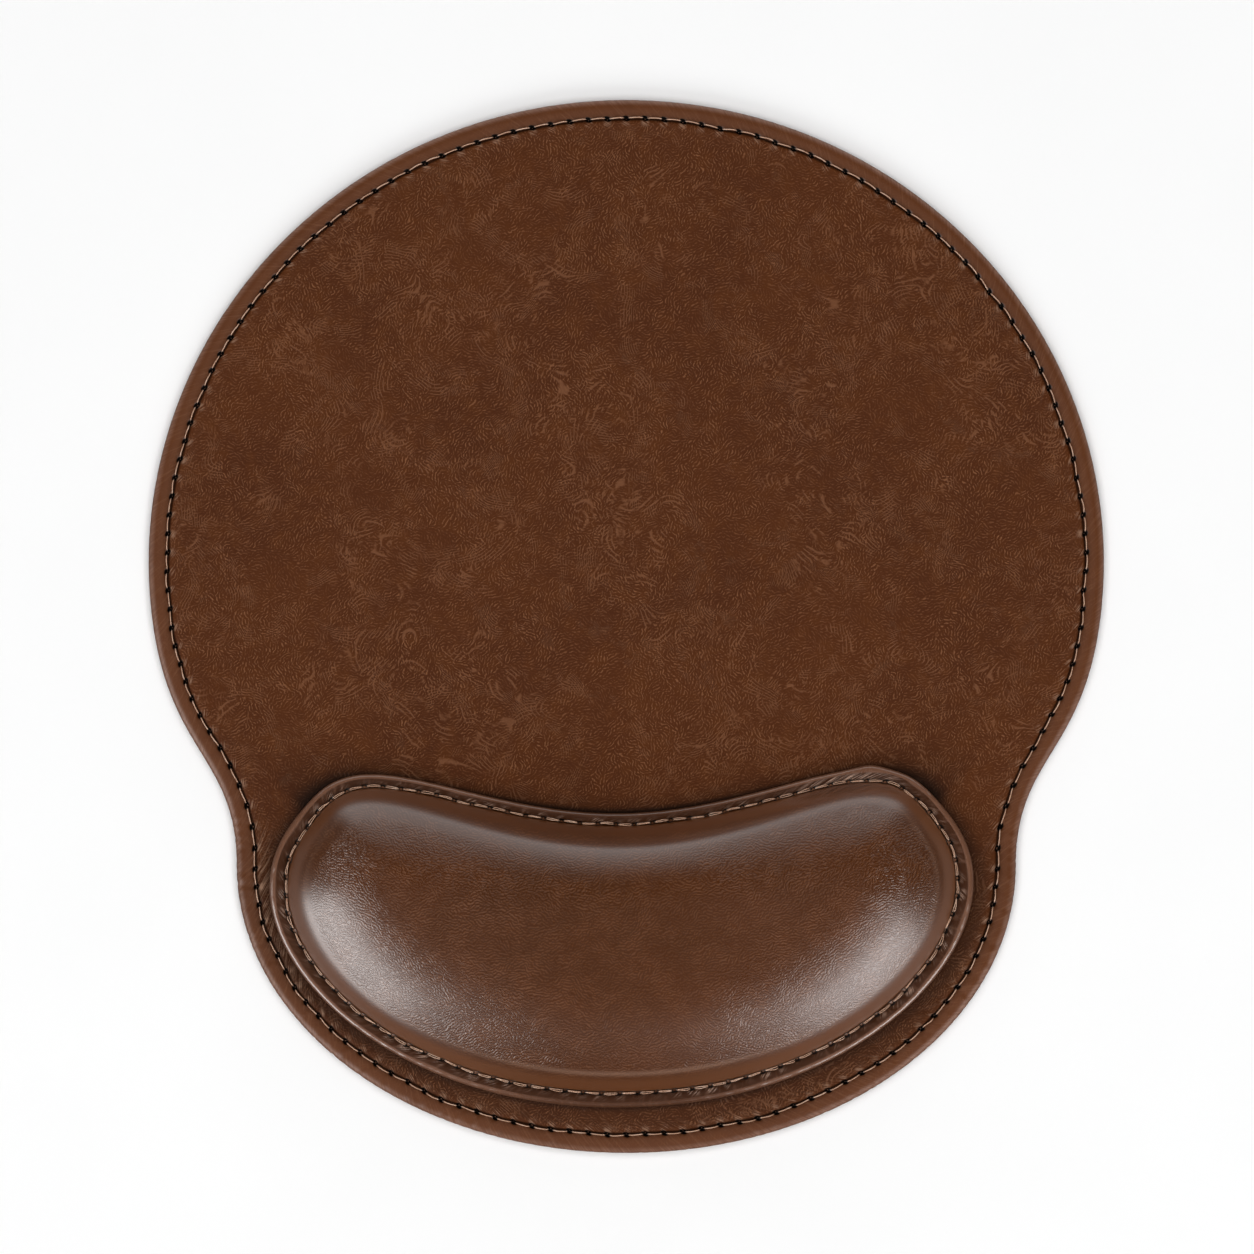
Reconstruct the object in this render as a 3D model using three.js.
// A leather mouse pad with a sewn wrist rest, lying flat on a desk.
//
// Millimetres, +Z up. +Y points away from the user, so the wrist rest is on the -Y side.
// The origin is on the desk, under the middle of the pad.
//
// From the desk up, the pad is a non-slip base sheet, a foam core and a leather cover. The cover is
// rolled round the edge of the core and turned under it as a hem, and one lock-stitched seam near
// the edge holds cover, core, hem and base together. The wrist rest is a cushion of its own: an
// adhesive sheet, a backing board, a foam crown and a leather cover whose flange is folded round
// the board and stitched all the way along.

import * as THREE from 'three';

// Pad outline: a round mouse area, drawn in at the neck to the palm area in front. The rear depth
// runs from the mouse area's widest line to the rear edge, the neck's depth from there to the palm
// area's widest line, and the front depth on to the front edge.
const mouseAreaWidth = 226.8;
const mouseAreaRearDepth = 109.8;
const neckDepth = 72;
const palmAreaWidth = 185;
const palmAreaFrontDepth = 68.2;
const neckStartAngle = 0.12;
const neckRearHandleShare = 0.457;
const neckFrontHandleShare = 0.36;

// Layers: every sheet is glued to the next, and the glue line stays open between them
const baseThickness = 1.2;
const coreThickness = 2;
const leatherThickness = 0.8;
const boardThickness = 0.8;
const glueGap = 0.1;

// Pad edge, measured in from the outline
const rimRollReach = 1.9;
const baseInset = 2.2;
const padSeamInset = 4.4;
const padHemWidth = 8;

// Threads and the groove that the perimeter seam presses into the pad
const threadDiameter = 0.4;
const threadArch = 0.15;
const padStitchLength = 4.5;
const restStitchLength = 4.3;
const grooveWidth = 2.4;
const grooveFloorWidth = 0.9;
const grooveDepth = 0.5;

// Wrist rest outline along its seam: a superellipse bent round an arc whose centre is behind it
const restHalfLength = 78.9;
const restRearHalfWidth = 23.8;
const restFrontHalfWidth = 39.9;
const restRearSquareness = 2.95;
const restFrontSquareness = 2.39;
const restArcRadius = 116.5;
const restFrontMargin = 14.4;
const restArcCentreX = -2.4;
const restTurn = 0.012;

// Wrist rest flange, measured from the seam, and its hem, measured in from the flange's edge
const flangeMargin = 3.5;
const flangeRearMargin = 2.6;
const flangeRollReach = 1.2;
const restHemWidth = 6.5;
const adhesiveHemGap = 1;

// Cushion crown
const overallHeight = 22;
const cushionFootInset = 1.7;
const ridgeEndInset = 34;
const ridgeForwardShift = 3;
const crownSquareness = 2.03;
const crownTopAngle = 1.4;

// Facet counts
const padOutlineSteps = 96;
const restOutlineSteps = 52;
const outerRollSteps = 4;
const innerRollSteps = 3;
const crownSteps = 6;
const innerCrownSteps = 4;
const threadSides = 3;
const arcLengthSteps = 800;

const padDepth = mouseAreaRearDepth + neckDepth + palmAreaFrontDepth;

// Levels in the pad, from the desk
const coreBottom = baseThickness + glueGap;
const hemBottom = baseThickness + glueGap;
const hemTop = hemBottom + leatherThickness;
const coreRimBottom = hemTop + glueGap;
const coreTop = coreBottom + coreThickness;
const coverBottom = coreTop + glueGap;
const padTop = coverBottom + leatherThickness;

// Levels in the wrist rest, from the top of the pad
const threadRadius = threadDiameter / 2;
const restHemBottom = glueGap + threadDiameter + glueGap;
const restHemTop = restHemBottom + leatherThickness;
const boardBottom = restHemTop + glueGap;
const boardTop = boardBottom + boardThickness;
const flangeBottom = boardTop + glueGap;
const flangeTop = flangeBottom + leatherThickness;
const crownTop = overallHeight - padTop;
const adhesiveThickness = boardBottom - glueGap - glueGap;

// Fractions 0, 1/count, 2/count and so on round a closed loop
function loopFractions(count) {
  return Array.from({ length: count }, (_, step) => step / count);
}

// Numbers from start to end in even steps, with both ends
function evenSteps(start, end, count) {
  return Array.from({ length: count + 1 }, (_, step) => start + ((end - start) * step) / count);
}

// Flat triangles across a ring of points, as index triples that start at firstIndex
function capFaces(ring, firstIndex, facesUp) {
  const flat = ring.map((point) => new THREE.Vector2(point.x, point.y));
  return THREE.ShapeUtils.triangulateShape(flat, []).flatMap(([a, b, c]) => {
    const face = facesUp ? [a, b, c] : [a, c, b];
    return face.map((corner) => corner + firstIndex);
  });
}

// A closed body whose skin runs over a stack of rings. Each ring is counter-clockwise seen from
// above, and the stack runs outward and down over the top, then back in underneath. The first and
// last ring are capped, or the stack joins up with itself, as a thread's does. Each four-sided
// facet is split along its shorter diagonal, so that nested skins are split alike.
function skinRings(rings, joinsUp = false) {
  const ringSize = rings[0].length;
  const points = rings.flat();
  const faces = [];
  const strips = joinsUp ? rings.length : rings.length - 1;
  for (let strip = 0; strip < strips; strip += 1) {
    const upper = strip * ringSize;
    const lower = ((strip + 1) % rings.length) * ringSize;
    for (let step = 0; step < ringSize; step += 1) {
      const next = (step + 1) % ringSize;
      const falling = points[upper + step].distanceTo(points[lower + next]);
      const rising = points[lower + step].distanceTo(points[upper + next]);
      if (falling < rising) {
        faces.push(upper + step, lower + step, lower + next);
        faces.push(upper + step, lower + next, upper + next);
      } else {
        faces.push(upper + step, lower + step, upper + next);
        faces.push(upper + next, lower + step, lower + next);
      }
    }
  }
  if (!joinsUp) {
    faces.push(...capFaces(rings[0], 0, true));
    faces.push(...capFaces(rings.at(-1), (rings.length - 1) * ringSize, false));
  }
  const geometry = new THREE.BufferGeometry().setFromPoints(points);
  geometry.setIndex(faces);
  geometry.computeVertexNormals();
  return geometry;
}

// Half turn of a rolled edge, from its crest to its underside, as [reach, level] pairs. The reach
// counts outward from the middle of the roll, and shrink steps in through the wall.
function edgeRoll(reach, bottom, top, shrink, steps) {
  const middle = (bottom + top) / 2;
  const halfHeight = (top - bottom) / 2 - shrink;
  return evenSteps(Math.PI / 2, -Math.PI / 2, steps).map((angle) => [
    (reach - shrink) * Math.cos(angle),
    middle + halfHeight * Math.sin(angle),
  ]);
}

// The pad's outline, counter-clockwise from the middle of its rear edge
function makePadOutline() {
  const rearRadiusX = mouseAreaWidth / 2;
  const rearRadiusY = mouseAreaRearDepth;
  const rearY = padDepth / 2 - mouseAreaRearDepth;
  const frontRadiusX = palmAreaWidth / 2;
  const frontY = palmAreaFrontDepth - padDepth / 2;
  const neckX = rearRadiusX * Math.cos(neckStartAngle);
  const neckY = rearY - rearRadiusY * Math.sin(neckStartAngle);
  const neckDirection = new THREE.Vector2(
    -rearRadiusX * Math.sin(neckStartAngle),
    -rearRadiusY * Math.cos(neckStartAngle),
  ).normalize();
  const rearHandleX = neckX + neckDirection.x * neckDepth * neckRearHandleShare;
  const rearHandleY = neckY + neckDirection.y * neckDepth * neckRearHandleShare;
  const frontHandleY = frontY + neckDepth * neckFrontHandleShare;
  const outline = new THREE.Path();
  outline.absellipse(
    0, rearY, rearRadiusX, rearRadiusY, Math.PI / 2, Math.PI + neckStartAngle, false,
  );
  outline.bezierCurveTo(
    -rearHandleX, rearHandleY, -frontRadiusX, frontHandleY, -frontRadiusX, frontY,
  );
  outline.absellipse(0, frontY, frontRadiusX, palmAreaFrontDepth, Math.PI, 2 * Math.PI, false);
  outline.bezierCurveTo(frontRadiusX, frontHandleY, rearHandleX, rearHandleY, neckX, neckY);
  outline.absellipse(0, rearY, rearRadiusX, rearRadiusY, -neckStartAngle, Math.PI / 2, false);
  return outline;
}

const padOutline = makePadOutline();

// The point at a fraction of the way round the pad, moved in from the outline
function padPoint(fraction, inset, level) {
  const edge = padOutline.getPoint(fraction);
  const along = padOutline.getTangent(fraction);
  return new THREE.Vector3(edge.x - along.y * inset, edge.y + along.x * inset, level);
}

function padRings(profile) {
  const fractions = loopFractions(padOutlineSteps);
  return profile.map(([inset, level]) => fractions.map((at) => padPoint(at, inset, level)));
}

// The seam's groove across a top face at some level, from the middle of the pad outward
function grooveProfile(level) {
  const innerLip = padSeamInset + grooveWidth / 2;
  const innerFloor = padSeamInset + grooveFloorWidth / 2;
  const outerFloor = padSeamInset - grooveFloorWidth / 2;
  const outerLip = padSeamInset - grooveWidth / 2;
  return [
    [innerLip, level],
    [innerFloor, level - grooveDepth],
    [outerFloor, level - grooveDepth],
    [outerLip, level],
  ];
}

// The pad's rolled edge at some depth inside the leather, from its crest to its underside
function rimRoll(shrink, steps) {
  return edgeRoll(rimRollReach, hemBottom, padTop, shrink, steps).map(([reach, level]) => [
    rimRollReach - reach,
    level,
  ]);
}

// Base sheet, with a groove underneath that keeps the bobbin thread off the desk
function baseSheetGeometry() {
  const grooveTop = glueGap + threadDiameter + glueGap;
  const outerSide = padSeamInset - grooveFloorWidth / 2;
  const innerSide = padSeamInset + grooveFloorWidth / 2;
  return skinRings(padRings([
    [baseInset, baseThickness],
    [baseInset, 0],
    [outerSide, 0],
    [outerSide, grooveTop],
    [innerSide, grooveTop],
    [innerSide, 0],
  ]));
}

// Foam core, pressed thin between the cover and the hem along the edge
function padCoreGeometry() {
  const hemStep = padHemWidth + glueGap;
  return skinRings(padRings([
    ...grooveProfile(coreTop),
    ...rimRoll(leatherThickness + glueGap, innerRollSteps),
    [hemStep, coreRimBottom],
    [hemStep, coreBottom],
  ]));
}

// Leather cover: flat top, stitched groove, rolled rim and the hem turned under
function padCoverGeometry() {
  return skinRings(padRings([
    ...grooveProfile(padTop),
    ...rimRoll(0, outerRollSteps),
    [padHemWidth, hemBottom],
    [padHemWidth, hemTop],
    ...rimRoll(leatherThickness, innerRollSteps).reverse(),
    ...grooveProfile(coverBottom).reverse(),
  ]));
}

// A sewing thread laid round a seam. seamPoint gives the seam's point at a fraction of its length,
// moved outward by a distance, at a level. A thread with two steps to a stitch arches up between
// its needle holes.
function threadGeometry(seamPoint, stitches, stepsPerStitch, middleLevel) {
  const fractions = loopFractions(stitches * stepsPerStitch);
  const rails = loopFractions(threadSides).map((turn) => {
    const angle = Math.PI / 2 - 2 * Math.PI * turn;
    const outward = threadRadius * Math.cos(angle);
    const railLevel = middleLevel + threadRadius * Math.sin(angle);
    return fractions.map((at, step) => {
      const arch = step % stepsPerStitch === 0 ? 0 : threadArch;
      return seamPoint(at, outward, railLevel + arch);
    });
  });
  return skinRings(rails, true);
}

const padSeamPoint = (at, outward, level) => padPoint(at, padSeamInset - outward, level);
const padSeamLength = padOutline.getLength() - 2 * Math.PI * padSeamInset;
const padStitches = Math.round(padSeamLength / padStitchLength);

function padTopThreadGeometry() {
  const level = padTop - grooveDepth + glueGap + threadRadius;
  return threadGeometry(padSeamPoint, padStitches, 2, level);
}

function padBobbinThreadGeometry() {
  return threadGeometry(padSeamPoint, padStitches, 1, glueGap + threadRadius);
}

// Unit superellipse, squarer at the rear of the wrist rest than at the front
function restUnitPoint(angle) {
  const across = Math.cos(angle);
  const back = Math.sin(angle);
  const squareness = back >= 0 ? restRearSquareness : restFrontSquareness;
  const powers = Math.abs(across) ** squareness + Math.abs(back) ** squareness;
  const reach = powers ** (1 / squareness);
  return new THREE.Vector2(across / reach, back / reach);
}

// Bends a point of the straight wrist rest round its arc. The arc's centre is the rest's origin.
function bendRest(along, back, level) {
  const angle = along / restArcRadius;
  const radius = restArcRadius - back;
  return new THREE.Vector3(radius * Math.sin(angle), -radius * Math.cos(angle), level);
}

// A point of the rest at a place round its seam, with the seam's outline grown by a distance. The
// flange is narrower along the rear, so growth outward is less there.
function restPoint(angle, growth, level) {
  const unit = restUnitPoint(angle);
  const rearShare = growth > 0 ? flangeRearMargin / flangeMargin : 1;
  const halfWidth = unit.y >= 0
    ? restRearHalfWidth + growth * rearShare
    : restFrontHalfWidth + growth;
  return bendRest(unit.x * (restHalfLength + growth), unit.y * halfWidth, level);
}

// The seam as a curve, so that its points and stitches can be spaced evenly along it
class RestSeam extends THREE.Curve {
  getPoint(fraction) {
    return restPoint(2 * Math.PI * fraction, 0, 0);
  }
}

const restSeam = new RestSeam();
restSeam.arcLengthDivisions = arcLengthSteps;
const restAngleAt = (at) => 2 * Math.PI * restSeam.getUtoTmapping(at);
const restAngles = loopFractions(restOutlineSteps).map(restAngleAt);

function restRings(profile) {
  return profile.map(([growth, level]) => restAngles.map((angle) => restPoint(angle, growth, level)));
}

// Rings of the cushion from its ridge line down to its foot. The rings shrink towards a ridge that
// stops short of both ends and lies forward of the middle, and their levels follow a squared-off
// quarter circle, so that the sides stand steep and the top is a broad crown. Depth steps in
// through the cover.
function crownRings(depth, footLevel, steps) {
  const power = 2 / crownSquareness;
  const footInset = cushionFootInset + depth;
  const rise = crownTop - depth - footLevel;
  const ring = (climb) => {
    const spread = Math.cos(climb) ** power;
    const level = footLevel + rise * (Math.sin(climb) / Math.sin(crownTopAngle)) ** power;
    const halfLength = restHalfLength - footInset - ridgeEndInset * (1 - spread);
    return restAngles.map((angle) => {
      const unit = restUnitPoint(angle);
      const halfWidth = (unit.y >= 0 ? restRearHalfWidth : restFrontHalfWidth) - footInset;
      const back = unit.y * halfWidth * spread - ridgeForwardShift * (1 - spread);
      return bendRest(unit.x * halfLength, back, level);
    });
  };
  return evenSteps(crownTopAngle, 0, steps).map(ring);
}

// The flange's folded edge at some depth inside the leather, from its crest to its underside
function flangeRoll(shrink, steps) {
  const foldMiddle = flangeMargin - flangeRollReach;
  return edgeRoll(flangeRollReach, restHemBottom, flangeTop, shrink, steps).map(
    ([reach, level]) => [foldMiddle + reach, level],
  );
}

// Sheet with square edges, its underside at level zero
function restSheetGeometry(growth, thickness) {
  return skinRings(restRings([[growth, thickness], [growth, 0]]));
}

// Adhesive sheet, which fills the space inside the hem between pad and board
function adhesiveSheetGeometry() {
  const growth = flangeMargin - restHemWidth - adhesiveHemGap;
  return restSheetGeometry(growth, adhesiveThickness);
}

// Stiff board that keeps the rest flat and gives the seam something to bite
function backingBoardGeometry() {
  return restSheetGeometry(flangeMargin - flangeRollReach, boardThickness);
}

// Foam crown, flat where it sits on the board
function restFoamGeometry() {
  return skinRings(crownRings(leatherThickness + glueGap, flangeBottom, innerCrownSteps));
}

// Leather cover of the rest: crown, flange, folded edge and hem
function restCoverGeometry() {
  const hemInner = flangeMargin - restHemWidth;
  return skinRings([
    ...crownRings(0, flangeTop, crownSteps),
    ...restRings([
      ...flangeRoll(0, outerRollSteps),
      [hemInner, restHemBottom],
      [hemInner, restHemTop],
      ...flangeRoll(leatherThickness, innerRollSteps).reverse(),
    ]),
    ...crownRings(leatherThickness, flangeBottom, innerCrownSteps).reverse(),
  ]);
}

const restSeamPoint = (at, outward, level) => restPoint(restAngleAt(at), outward, level);
const restStitches = Math.round(restSeam.getLength() / restStitchLength);

function restTopThreadGeometry() {
  return threadGeometry(restSeamPoint, restStitches, 2, flangeTop + glueGap + threadRadius);
}

function restBobbinThreadGeometry() {
  return threadGeometry(restSeamPoint, restStitches, 1, glueGap + threadRadius);
}

// Finishes
function matteLeather() {
  return new THREE.MeshStandardMaterial({ color: 0x5b3a26, roughness: 0.62, metalness: 0 });
}

function glossyLeather() {
  return new THREE.MeshStandardMaterial({ color: 0x5a351f, roughness: 0.34, metalness: 0 });
}

function nonSlipRubber() {
  return new THREE.MeshStandardMaterial({ color: 0x1c1b1a, roughness: 0.9, metalness: 0 });
}

function paleFoam() {
  return new THREE.MeshStandardMaterial({ color: 0xd9d3c4, roughness: 0.95, metalness: 0 });
}

function fibreBoard() {
  return new THREE.MeshStandardMaterial({ color: 0x8d7457, roughness: 0.85, metalness: 0 });
}

function clearAdhesive() {
  return new THREE.MeshStandardMaterial({ color: 0xe6e2d6, roughness: 0.5, metalness: 0 });
}

function darkThread() {
  return new THREE.MeshStandardMaterial({ color: 0x7a5a42, roughness: 0.7, metalness: 0 });
}

function makeMesh(name, geometry, material) {
  const mesh = new THREE.Mesh(geometry, material);
  mesh.name = name;
  return mesh;
}

// The pad stands on the desk
const pad = new THREE.Group();
pad.add(makeMesh('base_sheet', baseSheetGeometry(), nonSlipRubber()));
pad.add(makeMesh('pad_core', padCoreGeometry(), paleFoam()));
pad.add(makeMesh('pad_cover', padCoverGeometry(), matteLeather()));
pad.add(makeMesh('pad_seam_top_thread', padTopThreadGeometry(), darkThread()));
pad.add(makeMesh('pad_seam_bobbin_thread', padBobbinThreadGeometry(), darkThread()));

// The wrist rest is built about the centre of its arc and stands on the pad
const wristRest = new THREE.Group();
const restMiddleY = restFrontMargin + restFrontHalfWidth - padDepth / 2;
wristRest.position.set(restArcCentreX, restMiddleY + restArcRadius, padTop);
wristRest.rotation.z = restTurn;

const adhesiveSheet = makeMesh('rest_adhesive_sheet', adhesiveSheetGeometry(), clearAdhesive());
adhesiveSheet.position.z = glueGap;
const backingBoard = makeMesh('rest_backing_board', backingBoardGeometry(), fibreBoard());
backingBoard.position.z = boardBottom;
wristRest.add(adhesiveSheet, backingBoard);
wristRest.add(makeMesh('rest_foam', restFoamGeometry(), paleFoam()));
wristRest.add(makeMesh('rest_cover', restCoverGeometry(), glossyLeather()));
wristRest.add(makeMesh('rest_seam_top_thread', restTopThreadGeometry(), darkThread()));
wristRest.add(makeMesh('rest_seam_bobbin_thread', restBobbinThreadGeometry(), darkThread()));

const mousePad = new THREE.Group();
mousePad.add(pad, wristRest);

export default mousePad;
